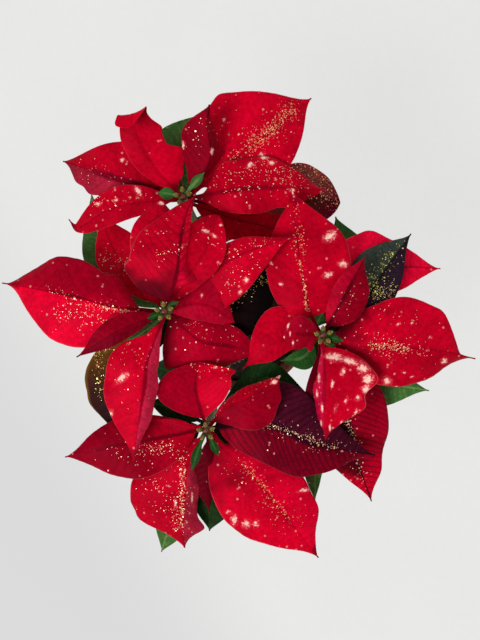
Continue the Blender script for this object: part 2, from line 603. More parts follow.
# Soft pink and cream smears: for each blade, places in the photograph (across, down, half its
# length, half its width, degrees that it leans up from level)
BLOTS = {
    "bloom_a_0": ((122, 160, 3, 2, 0),),
    "bloom_a_2": ((138, 191, 7, 3, -55), (98, 204, 4, 2, 0), (116, 200, 3, 2, 0)),
    "bloom_a_3": ((182, 145, 4, 3, 80), (212, 151, 4, 2, 80)),
    "bloom_a_4": ((262, 155, 4, 2.5, 0), (224, 120, 2, 2, 0)),
    "bloom_a_5": ((264, 157, 5, 3, 0), (250, 165, 4, 3, 30), (272, 163, 4, 2.5, 0), (292, 190, 3, 2, 0)),
    "bloom_b_3": ((162, 203, 4, 2.5, 0),),
    "bloom_b_4": ((205, 231, 4.5, 2.2, -10), (214, 236, 4.5, 2, -25), (221, 225, 2, 1.6, 0)),
    "bloom_b_5": ((246, 280, 4, 3, 40), (240, 292, 3, 2, 60)),
    "bloom_b_6": ((202, 296, 3, 1.6, 90),),
    "bloom_b_9": ((122, 378, 8, 3.5, 40), (110, 414, 5, 2.5, 60)),
    "bloom_c_0": ((330, 236, 8, 5, 30), (343, 264, 5, 4, 0), (328, 275, 5, 3.5, 20), (274, 253, 2, 2, 0),
        (271, 263, 2, 2, 0), (281, 284, 2.5, 2, 0), (293, 191, 1.5, 4, 0)),
    "bloom_c_6": ((288, 326, 1.2, 4, -15), (293, 343, 1.2, 3, 0), (284, 338, 1, 2.5, -20),
        (290, 334, 1, 3, 0)),
    "bloom_c_3": ((387, 381, 5, 4, -30), (444, 361, 4, 3, 30), (396, 388, 3, 2, 0), (430, 337, 2, 1.5, 0),
        (412, 323, 2.5, 1.6, 20), (398, 324, 1.5, 1.5, 0), (404, 372, 3, 1.5, -20), (412, 377, 2, 1.3, 0),
        (374, 334, 1.5, 1.5, 0), (427, 350, 1.5, 1.2, 0), (392, 362, 2, 1.2, 30)),
    "bloom_c_4": ((334, 357, 10, 4.5, -8), (350, 361, 10, 4, -14), (363, 368, 7, 5.5, -40),
        (368, 379, 6, 6, -60), (366, 389, 5, 5, -60), (358, 398, 3, 3, 0), (343, 372, 2.5, 5, -20),
        (332, 384, 1.6, 5, -10), (346, 400, 1.6, 4, -20), (356, 412, 1.6, 4, -25), (336, 408, 1.5, 5, -10),
        (341, 424, 1.5, 4, -10), (330, 428, 1.2, 4, 0), (316, 362, 1.8, 6, 0), (319, 378, 1.6, 6, 0),
        (317, 394, 1.6, 5, 0), (322, 408, 1.6, 5, 0), (321, 424, 1.5, 4, 0)),
    "bloom_d_1": ((176, 504, 1.6, 5, 0), (192, 498, 1.4, 6, 0)),
    "bloom_d_4": ((274, 382, 4, 2.5, 30),),
    "bloom_d_6": ((234, 520, 3.5, 6, 0), (246, 524, 4, 5, 0), (256, 524, 3, 4, 0), (305, 490, 8, 2, 10),
        (228, 512, 3, 2, 0)),
}


def unit(vectors):
    """Vectors brought to length 1."""
    vectors = np.asarray(vectors, float)
    return vectors / np.linalg.norm(vectors, axis=-1, keepdims=True)


def curve_through(points, where):
    """Points and slopes of a smooth curve through points, at each share of its length."""
    points = np.asarray(points, float)
    steps = np.linalg.norm(np.diff(points, axis=0), axis=1)
    knots = np.concatenate(([0.0], np.cumsum(steps))) / steps.sum()
    slopes = np.empty_like(points)
    slopes[1:-1] = (points[2:] - points[:-2]) / (knots[2:] - knots[:-2])[:, None]
    slopes[0] = (points[1] - points[0]) / knots[1]
    slopes[-1] = (points[-1] - points[-2]) / (1.0 - knots[-2])
    span = np.clip(np.searchsorted(knots, where, side="right") - 1, 0, len(points) - 2)
    width = (knots[span + 1] - knots[span])[:, None]
    t = (where - knots[span])[:, None] / width
    start, end = points[span], points[span + 1]
    begin, finish = slopes[span] * width, slopes[span + 1] * width
    square = 3 * (end - start) - 2 * begin - finish
    cube = 2 * (start - end) + begin + finish
    place = start + t * begin + t**2 * square + t**3 * cube
    return place, unit(begin + 2 * t * square + 3 * t**2 * cube)


def half_width(where, most, widest, drip, full):
    """Half-width at each share of a blade's length, narrow at its root and drawn out at its tip."""
    share = np.clip(where, 0.0, 1.0) ** (math.log(0.5) / math.log(widest))
    blend = np.clip((where - widest) / (1.0 - widest), 0.0, 1.0)
    return most * np.sin(np.pi * share) ** (full + (drip - full) * blend)


def blade_surface(blade, start, where, across):
    """The middle surface of a blade and its upward normals, with one row of points for each
    share of its length in where and one point in each row for each share of its half-width in
    across, left above 0."""
    line = np.array([start, *blade.rib], float)
    place, along = curve_through(line, where)
    length = np.linalg.norm(np.diff(line, axis=0), axis=1).sum()
    chord = np.array(blade.aim or np.subtract(blade.rib[-1], start)[:2], float)
    heading = unit(along[:, :2] + CHORD_WEIGHT * unit(chord))
    side = np.stack((-heading[:, 1], heading[:, 0], np.zeros(len(where))), axis=1)
    up = unit(np.cross(along, side))
    stalk = min(blade.stalk / length, 0.3)
    share = np.clip((where - stalk) / (1.0 - stalk), 0.0, 1.0)
    belly = np.sin(np.pi * share) ** 0.6
    phase = GOLDEN_TURN * (blade.root + blade.rib[0][0])
    grid = np.empty((len(where), len(across), 3))
    for column, s in enumerate(across):
        hand = 1 if s > 0 else -1
        most, widest = blade.left if s > 0 else blade.right
        lift = blade.rise[0] if s > 0 else blade.rise[1]
        width = half_width(share, most, widest, blade.drip, blade.full)
        for lobe_side, lobe_at, size in blade.lobes:
            if lobe_side == hand:
                width = width + size * np.exp(-(((share - lobe_at) / LOBE_SPREAD) ** 2))
        width = np.maximum(width, np.where(share < 0.5, STALK_HALF_WIDTH, TIP_HALF_WIDTH))
        wave = np.sin(2 * np.pi * RIPPLE_TURNS * share + phase + hand)
        height = (lift + RIPPLE * most * wave) * belly * abs(s) ** CUP
        grid[:, column] = place + side * (width * s)[:, None] + up * height[:, None]
    normal = unit(np.cross(np.gradient(grid, axis=0), np.gradient(grid, axis=1)))
    firm = np.clip(belly, 0.0, 1.0)[:, None, None]
    return grid, unit(normal * firm + up[:, None, :] * (1.0 - firm))


def pot_inside(height):
    """Inner radius of the pot's cone at a height."""
    return POT_FOOT_RADIUS + (POT_MOUTH_RADIUS - POT_FOOT_RADIUS) * height / POT_HEIGHT - POT_WALL


def arm_points(head):
    """Midline of the woody arm that leaves the main stem towards a head."""
    reach = ARM_REACH * unit(HEADS[head][:2])
    middle = (ARM_FOOT + ARM_END) / 2 - ARM_SAG
    return (0.0, 0.0, ARM_FOOT - ARM_RADIUS), (*reach / 2, middle), (*reach, ARM_END)


def shoot_points(head):
    """Midline of a green shoot, from just past the woody arm to just under the crown."""
    across, back, height = HEADS[head]
    place, along = curve_through(arm_points(head), np.ones(1))
    start = place[0] + along[0] * GAP
    top = height - CROWN_LENGTH
    bend = (across * SHOOT_LEAN, back * SHOOT_LEAN, top - SHOOT_BEND)
    neck = (across, back, top - CROWN_STRAIGHT)
    return start, start + along[0] * SHOOT_START, bend, neck, (across, back, top)


def shoot_at(head, height):
    """The point of a shoot's midline at a height."""
    place, _ = curve_through(shoot_points(head), np.linspace(0.0, 1.0, 60))
    across, back = (np.interp(height, place[:, 2], place[:, k]) for k in range(2))
    return np.array((across, back, height))


def blade_start(head, blade):
    """Where a blade leaves the middle of its stem."""
    across, back, height = HEADS[head]
    if blade.root > height - CROWN_LENGTH - CROWN_STRAIGHT:
        return np.array((across, back, blade.root))
    return shoot_at(head, blade.root)


def outside_stem(head, blade):
    """Start of a blade that is a piece of its own, just clear of the stem."""
    start = blade_start(head, blade)
    start[:2] += unit(blade.rib[0][:2] - start[:2]) * (SHOOT_RADIUS + 2 * GAP)
    return start


def lower_leaf(head, root, direction, length):
    """A drooping leaf low on a shoot."""
    start = shoot_at(head, root)
    turn = math.radians(direction)
    way = length * np.array((math.cos(turn), math.sin(turn), 0.0))
    rib = start + way / 2 + (0.0, 0.0, LOWER_ARCH), start + way - (0.0, 0.0, LOWER_DROOP)
    half = (LOWER_HALF_WIDTH * length, 0.46)
    return Blade(root, rib, half, half, (-2.0, -2.0))


def lamina(blade, start, rows, columns, own_pitch):
    """Fine middle surface of a blade with its normals, and for each point its share of the
    length, its signed share of the half-width, its millimetres along and across, and how many
    side veins lie before it."""
    where = np.linspace(0.0, 1.0, rows)
    across = np.linspace(-1.0, 1.0, columns)
    grid, normal = blade_surface(blade, start, where, across)
    place, _ = curve_through([start, *blade.rib], where)
    length = np.linalg.norm(np.diff(place, axis=0), axis=1).sum()
    share, side = np.meshgrid(where, across, indexing="ij")
    span = np.linalg.norm(grid - place[:, None, :], axis=2) * np.sign(side)
    along = share * length
    pitch = own_pitch or length / VEINS_PER_SIDE
    phase = along - VEIN_LEAN * abs(span) - VEIN_CURL * span**2 + (side < 0) * pitch / 2
    seed = blade.root + 3.1 * blade.rib[0][0]
    lift = -QUILT * np.cos(2 * np.pi * phase / pitch) * np.clip(abs(span) / QUILT_START, 0.0, 1.0)
    lift -= RIB_GROOVE * np.exp(-((span / GROOVE_WIDTH) ** 2))
    lift += WAVER * np.sin(along / WAVER_LONG + seed) * np.cos(span / WAVER_WIDE + 2 * seed)
    lift += MARGIN_WAVE * np.sin(along / MARGIN_LONG + seed + 2.0 * (side > 0)) * abs(side) ** 5
    lift *= np.sin(np.pi * share) ** 0.5 * np.clip(length / FULL_RELIEF_LENGTH, 0.2, 1.0)
    return grid + normal * lift[:, :, None], normal, share, side, along, span, along / pitch


def ring_faces(rings):
    """Faces between rings of corners. A ring of one corner is a pole."""
    faces = []
    for low, high in zip(rings, rings[1:]):
        count = max(len(low), len(high))
        for k in range(count):
            m = (k + 1) % count
            face = (low[k % len(low)], low[m % len(low)], high[m % len(high)], high[k % len(high)])
            faces.append(list(dict.fromkeys(face)))
    return faces


def tube(points, radius_at, sides, rings, rough=0.0, scale=0.2):
    """A closed rod along a smooth curve: its corners, its faces and how far along each corner is.
    radius_at gives its radius at each share of its length."""
    where = np.linspace(0.0, 1.0, rings)
    place, along = curve_through(points, where)
    first = unit(np.cross(along, (0.35, 0.93, 0.1)))
    second = np.cross(along, first)
    turns = 2 * np.pi * np.arange(sides) / sides
    corners = []
    for k, share in enumerate(where):
        for way in np.cos(turns)[:, None] * first[k] + np.sin(turns)[:, None] * second[k]:
            spot = place[k] + way * radius_at(share)
            push = noise.noise(Vector(spot) * scale) + 0.5 * noise.noise(Vector(spot) * scale * 3.1)
            corners.append(spot + way * push * rough)
    count = rings * sides
    around = np.arange(count).reshape(rings, sides).tolist()
    faces = ring_faces([[count], *around, [count + 1]])
    return [*corners, place[0], place[-1]], faces, [*np.repeat(where, sides), 0.0, 1.0]


def turned(profile, sides, at=(0.0, 0.0, 0.0), lean=(0.0, 0.0, 1.0)):
    """A closed solid turned from (radius, height) points that start and end on its axis: its
    corners, its faces and the height of each corner."""
    spin = np.array(Vector((0, 0, 1)).rotation_difference(Vector(lean)).to_matrix())
    corners, rings = [], []
    for radius, height in profile:
        turns = [2 * math.pi * k / sides for k in range(sides if radius > 1e-6 else 1)]
        rings.append(range(len(corners), len(corners) + len(turns)))
        corners += [(radius * math.cos(t), radius * math.sin(t), height) for t in turns]
    corners = np.array(corners)
    return corners @ spin.T + at, ring_faces(rings), corners[:, 2]


def smooth_profile(points):
    """A profile with its corners eased by a curve through its points."""
    flat = [(radius, height, 0.0) for radius, height in points]
    place, _ = curve_through(flat, np.linspace(0.0, 1.0, PROFILE_STEPS * len(points)))
    eased = [(max(0.0, radius), height) for radius, height, _ in place]
    return [(0.0, points[0][1]), *eased[1:-1], (0.0, points[-1][1])]


def make_mesh(name, points, faces, flat=(), low=LOW_LIMIT, high=HIGH_LIMIT):
    """A mesh from points in millimetres and faces, smooth but for the flat ones."""
    mesh = bpy.data.meshes.new(name)
    points = np.clip(np.asarray(points, float) * MM, low, high)
    mesh.from_pydata(points.tolist(), [], faces)
    smooth = np.ones(len(faces), bool)
    smooth[list(flat)] = False
    mesh.polygons.foreach_set("use_smooth", smooth)
    mesh.update()
    return mesh


def store(mesh, name, *groups):
    """Keep three numbers for each vertex, for one group of vertices after another."""
    values = np.concatenate([np.stack(group, axis=-1).reshape(-1, 3) for group in groups])
    layer = mesh.attributes.new(name, "FLOAT_VECTOR", "POINT")
    layer.data.foreach_set("vector", values.astype(np.float32).ravel())


def link(name, data):
    """A new object in the scene."""
    thing = bpy.data.objects.new(name, data)
    bpy.context.scene.collection.objects.link(thing)
    return thing


def add_piece(mesh, material, slot, *nodes):
    """Link a mesh as a piece of the plant, which may stand for CAD nodes."""
    piece = link(mesh.name, mesh)
    mesh.materials.append(material)
    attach(piece, "root")
    if nodes:
        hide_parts(*nodes)
    return piece


def add_solid(name, shapes, material, slot, node):
    """Link solids, each with its corners, faces and marks, as one piece."""
    points, faces, marks = [], [], []
    for corners, sides, levels in shapes:
        base = len(points)
        faces += [[base + k for k in face] for face in sides]
        points.extend(corners)
        marks.extend(levels)
    mesh = make_mesh(name, points, faces)
    store(mesh, "blade", (marks, marks, marks))
    return add_piece(mesh, material, slot, node)


def sheet_faces(rows, columns):
    """Faces of a closed sheet, top, bottom and border, and the numbers of the border's."""
    count = rows * columns
    index = np.arange(count).reshape(rows, columns)
    a, b, c, d = index[:-1, :-1], index[1:, :-1], index[1:, 1:], index[:-1, 1:]
    top = np.stack((a, b, c, d), axis=-1).reshape(-1, 4)
    low = np.stack((a, d, c, b), axis=-1).reshape(-1, 4) + count
    loop = np.concatenate((index[:, 0], index[-1, 1:], index[-2::-1, -1], index[0, -2:0:-1]))
    after = np.roll(loop, -1)
    border = np.stack((loop, loop + count, after + count, after), axis=-1)
    faces = np.concatenate((top, low, border)).tolist()
    return faces, range(2 * len(top), len(faces))


def to_photo(points):
    """Where points in millimetres lie in the photograph, across and down."""
    scale = PHOTO_FOCAL / (CAMERA_HEIGHT - points[..., 2])
    across = PHOTO_MIDDLE[0] + points[..., 0] * scale
    down = PHOTO_MIDDLE[1] - points[..., 1] * scale
    return np.stack((across, down), axis=-1)


def blot_strength(key, points):
    """How much of a soft patch each point has, 0 to 1."""
    spots = to_photo(points)
    strength = np.zeros(points.shape[:-1])
    for u, v, long, wide, lean in BLOTS.get(key, ()):
        across, down = spots[..., 0] - u, spots[..., 1] - v
        cos, sin = math.cos(math.radians(lean)), math.sin(math.radians(lean))
        forward = (across * cos - down * sin) / long
        aside = (across * sin + down * cos) / wide
        strength = np.maximum(strength, np.exp(-(forward**2) - aside**2))
    return strength


def add_fine_blade(key, blade, start, pitch, material, slot, node, grid):
    """One bract or leaf as a thin closed sheet with its relief. Returns its upper surface and
    its normals."""
    middle, normal, share, side, along, span, turns = lamina(blade, start, *grid, pitch)
    upper, lower = (middle + normal * FINE_THICKNESS / 2 * way for way in (1, -1))
    faces, border = sheet_faces(*grid)
    mesh = make_mesh(key, np.concatenate((upper, lower)).reshape(-1, 3), faces, border)
    none = np.zeros_like(share)
    store(mesh, "blade", (share, side, none + 1.0), (share, side, none))
    store(mesh, "lamina", *[(along, span, turns)] * 2)
    store(mesh, "blot", (blot_strength(key, upper), none, none), (none, none, none))
    add_piece(mesh, material, slot, node)
    return upper, normal


class Number:
    """A number in a material, which sums can be written with."""

    def __init__(self, graph, socket):
        self.graph = graph
        self.socket = socket

    def __add__(self, other):
        return self.graph.maths("ADD", self, other)

    def __sub__(self, other):
        return self.graph.maths("SUBTRACT", self, other)

    def __mul__(self, other):
        return self.graph.maths("MULTIPLY", self, other)

    def __truediv__(self, other):
        return self.graph.maths("DIVIDE", self, other)

    def __lt__(self, other):
        return self.graph.maths("LESS_THAN", self, other)

    def __abs__(self):
        return self.graph.maths("ABSOLUTE", self)


class Graph:
    """Wires the shader nodes of one material."""

    def __init__(self, name):
        self.material = bpy.data.materials.new(name)
        self.material.use_nodes = True
        self.tree = self.material.node_tree

    def fill(self, node, inputs):
        """Give each named input of a node a link or a constant."""
        for key, value in inputs.items():
            socket = node.inputs[key]
            value = getattr(value, "socket", value)
            if isinstance(value, bpy.types.NodeSocket):
                self.tree.links.new(value, socket)
            elif isinstance(value, tuple):
                socket.default_value = (*value, 1.0)
            else:
                socket.default_value = value

    def dress(self, **inputs):
        """Fill the inputs of the surface shader, named with _ for each space."""
        shader = self.tree.nodes["Principled BSDF"]
        self.fill(shader, {key.replace("_", " "): value for key, value in inputs.items()})
        return self.material

    def node(self, kind, inputs, **settings):
        """Add a node and return what it puts out."""
        node = self.tree.nodes.new("ShaderNode" + kind)
        for key, value in settings.items():
            setattr(node, key, value)
        self.fill(node, inputs)
        return node.outputs

    def maths(self, operation, *numbers):
        """One sum on numbers."""
        return Number(self, self.node("Math", dict(enumerate(numbers)), operation=operation)[0])

    def split(self, vector):
        """The three numbers of a vector."""
        return [Number(self, part) for part in self.node("SeparateXYZ", {0: vector})]

    def attribute(self, name):
        """The three numbers of a mesh attribute."""
        return self.split(self.node("Attribute", {}, attribute_name=name)["Vector"])

    def ramp(self, value, low, high, bottom=0.0, top=1.0):
        """A smooth step from bottom to top as value goes from low to high."""
        inputs = dict(enumerate((value, low, high, bottom, top)))
        return Number(self, self.node("MapRange", inputs, interpolation_type="SMOOTHSTEP")[0])

    def mix(self, factor, first, second, blend="MIX"):
        """Two colours mixed."""
        inputs = {0: factor, 6: first, 7: second}
        return self.node("Mix", inputs, data_type="RGBA", blend_type=blend)[2]

    def shade(self, colour, grey):
        """A colour times a grey."""
        tint = self.node("CombineColor", {0: grey, 1: grey, 2: grey})[0]
        return self.mix(1.0, colour, tint, "MULTIPLY")

    def place(self, scale=1000.0):
        """Position in the object, in millimetres if not scaled otherwise."""
        here = self.node("TexCoord", {})["Object"]
        return self.node("VectorMath", {0: here, "Scale": scale}, operation="SCALE")[0]

    def noise(self, place, scale, detail=2.0, rough=0.5):
        """Smooth noise from 0 to 1."""
        inputs = {"Vector": place, "Scale": scale, "Detail": detail, "Roughness": rough}
        return Number(self, self.node("TexNoise", inputs)[0])

    def cells(self, place, scale, feature):
        """Cell pattern: a distance, and a colour for each cell."""
        return self.node("TexVoronoi", {"Vector": place, "Scale": scale}, feature=feature)


def blade_material(name, look):
    """Bract or leaf: two halves, midrib, tip and root tones, side veins, fine net, soft spots,
    smears, pale margin and a duller underside."""
    g = Graph(name)
    share, side, top = g.attribute("blade")
    along, span, turns = g.attribute("lamina")
    blot = g.attribute("blot")[0]
    flat = g.node("CombineXYZ", {0: along, 1: span})[0]
    far = abs(span)
    edge = abs(side)
    place = g.place()
    wide = g.noise(place, PATCH_SCALE)
    grain = g.noise(place, GRAIN_SCALE, 3.0, 0.6)
    drift = (wide - 0.5) * 0.5
    colour = g.mix(g.ramp(side + drift * 0.4, -0.08, 0.08), look.right, look.left)
    below = g.mix(0.5, colour, look.under)
    colour = g.mix(g.ramp(share + drift, look.base_to, look.base_to * 0.2), colour, look.base)
    colour = g.mix(g.ramp(share + drift, look.tip_from, 1.0), colour, look.tip)
    near_rib = g.ramp(far + drift * 4.0, look.rib_width, look.rib_width * 0.2)
    colour = g.mix(near_rib * g.ramp(share, 0.86, 0.62), colour, look.rib)

    pitch = along / g.maths("MAXIMUM", turns, 0.01)
    reach = far * VEIN_LEAN + far * far * VEIN_CURL
    line = turns - reach / pitch + (side < 0.0) * 0.5 + drift * 1.3 + (grain - 0.5) * 0.22
    gap = g.maths("PINGPONG", line, 0.5) * pitch
    thin = g.ramp(edge, 0.0, 1.0, 1.1 * look.vein_width, 0.45 * look.vein_width)
    vein = g.ramp(gap, thin, 0.12) * g.ramp(grain, 0.3, 0.7, look.vein * 0.5, look.vein)
    vein = g.maths("MAXIMUM", vein, g.ramp(far, *MIDRIB_WIDTHS) * min(1.0, look.vein + 0.3))
    colour = g.mix(vein, colour, look.vein_tone)
    below = g.mix(vein, below, look.vein_tone)
    net = g.cells(flat, NET_SCALE, "DISTANCE_TO_EDGE")[0]
    colour = g.mix(g.ramp(net, NET_WIDTH, 0.0, 0.0, 0.5 * look.vein + 0.02), colour, look.vein_tone)
    grey = g.ramp(grain, 0.25, 0.75, 0.76, 1.14) * g.ramp(wide, 0.3, 0.7, 0.82, 1.12)
    colour = g.shade(colour, grey)

    distance, cell = g.cells(flat, SPOT_SCALE, "F1")[:2]
    chosen = Number(g, g.node("SeparateColor", {0: cell})[0]) < look.spots
    colour = g.mix(g.ramp(distance, *SPOT_SIZES) * (chosen * SPOT_STRENGTH), colour, PINK)
    torn = g.noise(place, TEAR_SCALE, 4.0, 0.72)
    patch = g.ramp(blot + (torn - 0.5) * TEAR_DEPTH, 0.12, 0.95) * g.ramp(blot, 0.03, 0.28)
    core = g.mix(g.ramp(patch, 0.4, 1.0), BLUSH, CREAM)
    colour = g.mix(patch * SMEAR_STRENGTH, colour, core)
    margin = g.ramp(edge + drift * 0.1, look.edge_from, 1.0, 0.0, look.edge)
    colour = g.mix(margin, colour, look.edge_tone)
    return g.dress(
        Base_Color=g.mix(top, below, colour),
        Roughness=g.ramp(grain, 0.2, 0.8, look.rough - 0.06, look.rough + 0.1),
        Sheen_Weight=SHEEN,
        Sheen_Roughness=0.4,
        Sheen_Tint=look.left,
        Specular_IOR_Level=SHINE,
        Specular_Tint=SHINE_TINT,
    )


def plain_material(name, tones, scale, rough, detail=4.0, relief=None, **shine):
    """Two tones in a fine grain, for stems, soil, pot and flecks, with small relief where it is
    given as the scale and the depth of its noise."""
    g = Graph(name)
    place = g.place()
    grain = g.noise(place, scale, detail, 0.6)
    colour = g.mix(g.ramp(grain, 0.3, 0.7), *tones)
    colour = g.shade(colour, g.ramp(g.noise(place, scale * 0.2), 0.3, 0.7, 0.85, 1.1))
    if relief:
        height = g.noise(place, relief[0], 3.0, 0.6)
        inputs = {"Strength": 1.0, "Distance": relief[1] * MM, "Height": height}
        shine["Normal"] = g.node("Bump", inputs)[0]
    rough = g.ramp(grain, 0.2, 0.8, rough - 0.05, rough + 0.08)
    return g.dress(Base_Color=colour, Roughness=rough, **shine)


def fleck_places(strokes, upper, draw):
    """Rows and columns of points drawn on a surface near strokes in the photograph."""
    rows, columns = upper.shape[:2]
    row = draw.uniform(1.0, rows - 2.0, FLECK_TRIES)
    column = draw.uniform(0.6, columns - 1.6, FLECK_TRIES)
    low_row, low_column = row.astype(int), column.astype(int)
    here = upper[low_row, low_column]
    spots = to_photo(here)
    width = np.linalg.norm(upper[low_row, low_column + 1] - here, axis=1)
    chosen = []
    for u0, v0, u1, v1, reach, number in strokes:
        way = np.array((u1 - u0, v1 - v0), float)
        offset = spots - (u0, v0)
        share = np.clip((offset @ way) / np.hypot(*way) ** 2, 0.0, 1.0)
        gap = np.linalg.norm(offset - share[:, None] * way, axis=1) / reach
        stray = FLECK_STRAY * np.exp(-((gap / FLECK_STRAY_REACH) ** 2))
        weight = (np.exp(-(gap**2)) + stray) * width
        if weight.sum() > 1e-9:
            share = weight / weight.sum()
            chosen += draw.choice(FLECK_TRIES, number, replace=False, p=share).tolist()
    return np.stack((row[chosen], column[chosen]), axis=1)


def between(grid, row, column):
    """A value between the four grid points round a place."""
    i, j = int(row), int(column)
    s, t = row - i, column - j
    first = grid[i, j] * (1 - t) + grid[i, j + 1] * t
    second = grid[i + 1, j] * (1 - t) + grid[i + 1, j + 1] * t
    return first * (1 - s) + second * s


def add_flecks(name, groups, material, slot):
    """Thin gold chips lying on blades. groups holds (strokes, upper surface, normals)."""
    draw = np.random.default_rng(len(name) * FLECK_SEED + ord(name[-1]))
    corners = FLECK_CORNERS
    points, faces = [], []
    for strokes, upper, normal in groups:
        for row, column in fleck_places(strokes, upper, draw):
            centre = between(upper, row, column)
            up = unit(between(normal, row, column) + draw.normal(0.0, FLECK_TILT, 3))
            first = unit(np.cross(up, (0.3, 0.9, 0.2)))
            second = np.cross(up, first)
            size = FLECK_RADIUS * min(FLECK_MOST, draw.lognormal(*FLECK_SIZES))
            spin = draw.uniform(0.0, 2 * np.pi)
            reach = size * draw.uniform(*FLECK_RAGGED, corners)
            turns = spin + 2 * np.pi * np.arange(corners) / corners
            ring = (np.cos(turns) * reach)[:, None] * first + (np.sin(turns) * reach)[:, None] * second
            low = range(len(points), len(points) + corners)
            high = range(low.stop, low.stop + corners)
            points.extend(centre + ring - up * FLECK_SINK)
            points.extend(centre + ring + up * FLECK_RISE)
            faces += [low[::-1], high, *ring_faces([low, high])]
    add_piece(make_mesh(name, points, faces, range(len(faces))), material, slot)


def stem_material():
    """Green stem with a reddish top and pale lengthwise streaks."""
    g = Graph("green_stem")
    share = g.attribute("blade")[0]
    streak = g.noise(g.place(), 0.5, 4.0, 0.6)
    colour = g.mix(g.ramp(streak, 0.3, 0.7), lin(58, 104, 40), lin(104, 140, 70))
    colour = g.mix(g.ramp(share + streak * 0.2, 0.72, 1.1), colour, lin(130, 40, 44))
    return g.dress(Base_Color=g.mix(g.ramp(share, 0.2, 0.0), colour, lin(92, 84, 50)))


def cup_material():
    """True flower: green cup that turns yellow and red at its mouth."""
    g = Graph("flower_cup")
    grain = g.noise(g.place(), 1.2, 3.0)
    level = g.attribute("blade")[0] + (grain - 0.5) * 1.2
    colour = g.mix(g.ramp(level, 1.0, 3.0), lin(30, 66, 24), lin(92, 106, 40))
    return g.dress(Base_Color=g.mix(g.ramp(level, 3.6, 4.8), colour, lin(112, 40, 28)), Roughness=0.42)


def build_stems(material):
    """Green shoots and the crown stem of each bloom."""
    for head, (across, back, height) in HEADS.items():
        roots = [row[0] for row in LOWER_LEAVES[head]] + [leaf.root for leaf in GREEN_LEAVES[head]]
        points = shoot_points(head)
        curve, _ = curve_through(points, np.linspace(0.0, 1.0, SCAR_STEPS))
        scars = [np.argmin(abs(curve[:, 2] - root)) / (SCAR_STEPS - 1.0) for root in roots]

        def shoot_radius(share):
            swell = sum(math.exp(-(((share - scar) / SCAR_WIDTH) ** 2)) for scar in scars)
            return SHOOT_RADIUS + (CROWN_RADIUS - SHOOT_RADIUS) * share + SCAR_SWELL * min(swell, 1.0)

        shoot = tube(points, shoot_radius, *SHOOT_MESH, *SHOOT_GRAIN)
        add_solid("shoot_%s_stem" % head, [shoot], material, "green_leaf", "shoot_" + head)
        foot = height - CROWN_LENGTH + GAP
        points = [(across, back, level) for level in (foot, (foot + height) / 2, height)]
        stem = tube(points, lambda share: CROWN_RADIUS - CROWN_TAPER * share, *CROWN_MESH, *CROWN_GRAIN)
        add_solid("bloom_%s_stem" % head, [stem], material, "red_bract", "bloom_" + head)


def build_blades(materials):
    """All bracts and leaves. Returns the surfaces that carry gold flecks."""
    gold = {}

    def add(key, blade, start, look, slot, node, grid):
        pitch = LOOKS[look].pitch
        surface = add_fine_blade(key, blade, start, pitch, materials[look], slot, node, grid)
        if key in GOLD:
            tone = "rose_gold" if key in ROSE_GOLD else "green_gold" if "bronze" in key else "pale_gold"
            gold.setdefault((node, tone), []).append((GOLD[key], *surface))

    def add_rows(table, kind, slot, grid=FINE_GRID):
        for head in HEADS:
            for k, blade in enumerate(table[head]):
                key = kind % head + "_%d" % k
                look = key if key in LOOKS else GREEN_PIECES.get(key, "dark_green_leaf")
                node = "_".join(key.split("_")[:2])
                add(key, blade, blade_start(head, blade), look, slot, node, grid)

    lower = {head: [lower_leaf(head, *row) for row in rows] for head, rows in LOWER_LEAVES.items()}
    add_rows(BRACTS, "bloom_%s", "red_bract")
    for name, blade in BRONZE_LEAVES.items():
        node = "bronze_leaf_" + name
        add(node + "_blade", blade, outside_stem(name[0], blade), node, "bronze_leaf", node, FINE_GRID)
    add_rows(GREEN_LEAVES, "shoot_%s_leaf", "green_leaf")
    add_rows(lower, "shoot_%s_lower", "green_leaf")
    add_rows(LEAFLETS, "flowers_%s_leaflet", "true_flower", SMALL_GRID)
    return gold


def stamen_radius(share):
    """Radius of a stamen, thin with a knob at its end."""
    return STAMEN_RADIUS + STAMEN_KNOB * share**4


def build_flowers(cup_look, gland_look, stamen_look):
    """Cups, yellow glands and red stamens on each crown."""
    cup, core, gland = map(smooth_profile, (CUP_PROFILE, CORE_PROFILE, GLAND_PROFILE))
    for head, (across, back, height) in HEADS.items():
        cups = [turned(core, CORE_SIDES, (across, back, height + GAP))]
        glands, stamens = [], []
        for k in range(CUPS):
            turn = 2 * math.pi * k / CUPS + CUP_TURN
            out = np.array((math.cos(turn), math.sin(turn), 0.0))
            lift = height + CUP_LIFT + CUP_STALK_RADIUS * (k % 2)
            foot = (across, back, lift) + out * CUP_RING_RADIUS
            start = (across, back, height + CORE_HEIGHT * CUP_FORK) + out
            stalk = [start, (start + foot) / 2, foot]
            cups.append(tube(stalk, lambda share: CUP_STALK_RADIUS, *STALK_MESH))
            lean = unit(out * CUP_LEAN + (0.0, 0.0, 1.0))
            sunk = foot - (0.0, 0.0, CUP_STALK_RADIUS / 2)
            cups.append(turned(cup, CUP_SIDES, sunk, lean))
            mouth = sunk + lean * CUP_HEIGHT
            lip = mouth + (out + (0.0, 0.0, 0.1)) * GLAND_OUT - lean * GLAND_DOWN
            glands.append(turned(gland, GLAND_SIDES, lip, out + (0.0, 0.0, GLAND_LEAN)))
            for m in range(STAMENS):
                way = turn + 2 * math.pi * m / STAMENS
                side = np.array((math.cos(way), math.sin(way), 0.0))
                tip = mouth + side * STAMEN_SPREAD + lean * STAMEN_TIPS[m % 2]
                rod = [mouth - lean * STAMEN_SUNK, mouth + side * STAMEN_BEND, tip]
                stamens.append(tube(rod, stamen_radius, *STAMEN_MESH))
        node = "flowers_" + head
        add_solid(node + "_cups", cups, cup_look, "true_flower", node)
        add_solid(node + "_glands", glands, gland_look, "true_flower", node)
        add_solid(node + "_stamens", stamens, stamen_look, "true_flower", node)


